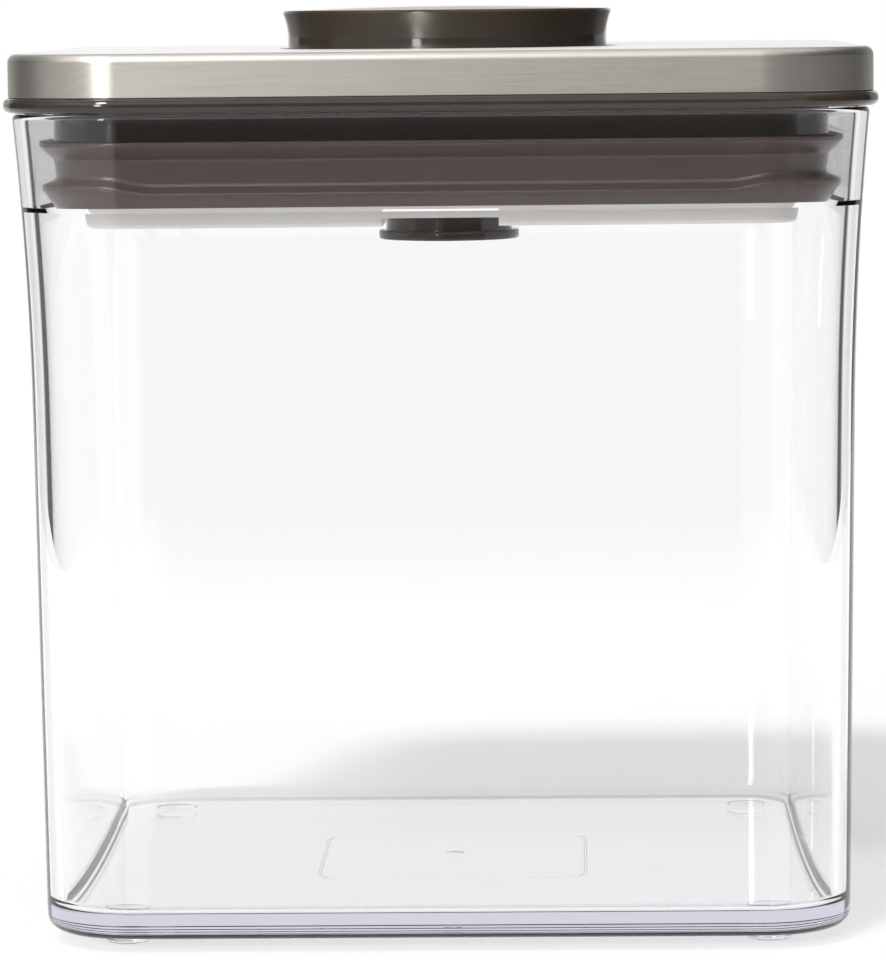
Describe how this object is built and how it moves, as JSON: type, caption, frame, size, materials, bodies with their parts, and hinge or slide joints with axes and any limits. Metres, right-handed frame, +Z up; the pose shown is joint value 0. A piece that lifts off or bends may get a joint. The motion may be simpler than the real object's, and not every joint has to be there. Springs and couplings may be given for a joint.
{
  "type": "food storage container",
  "caption": "Square clear food storage container with a steel-topped lid; a round pop-up button spreads a silicone gasket to seal it.",
  "frame": {"origin": "on the table, under the middle of the square footprint, at the bottom of the feet", "axes": "+Z up along the button's travel, -Y towards the front face seen in the picture, +X to the right of it"},
  "size_m": [0.161, 0.161, 0.173],
  "materials": {
    "clear_plastic": "clear, polished",
    "brushed_steel": "brushed lengthways",
    "taupe_plastic": "satin moulded",
    "taupe_silicone": "smooth, satin",
    "pale_plastic": "pale, slightly translucent",
    "bright_steel": "drawn wire"
  },
  "bodies": {
    "container": {"container": "clear_plastic"},
    "lid": {"lid_cover": "brushed_steel", "lid_body": "taupe_plastic", "gasket": "taupe_silicone", "guide_plate": "taupe_plastic", "guide_plate_seal": "taupe_silicone", "guide_plate_screws": "bright_steel", "return_spring": "bright_steel"},
    "latch": {"latch_arm": "bright_steel"},
    "button": {"button_shell": "taupe_plastic", "button_cap": "brushed_steel", "button_screw": "bright_steel", "plunger": "taupe_plastic", "plunger_o_ring": "taupe_silicone", "spreader": "pale_plastic"},
    "knob": {"lock_knob": "taupe_plastic"}
  },
  "joints": [
    {"name": "lid_lift", "type": "slide", "parent": "container", "child": "lid", "axis": [0, 0, 1], "range_m": [0, 0.1]},
    {"name": "button_press", "type": "slide", "parent": "lid", "child": "button", "axis": [0, 0, -1], "range_m": [0, 0.0073], "stiffness_N_per_m": 500, "springref_m": -0.006, "deforming": ["return_spring", "gasket"]},
    {"name": "latch_swing", "type": "hinge", "parent": "lid", "child": "latch", "pos_m": [0.0142, 0, 0.1489], "axis": [1, 0, 0], "range_deg": [0, 15]},
    {"name": "knob_turn", "type": "hinge", "parent": "button", "child": "knob", "pos_m": [0, 0, 0.1304], "axis": [0, 0, 1], "range_deg": [0, 90]}
  ],
  "couplings": [
    {"joint": "latch_swing", "follows": "button_press", "rad_per_m": 34.6}
  ]
}
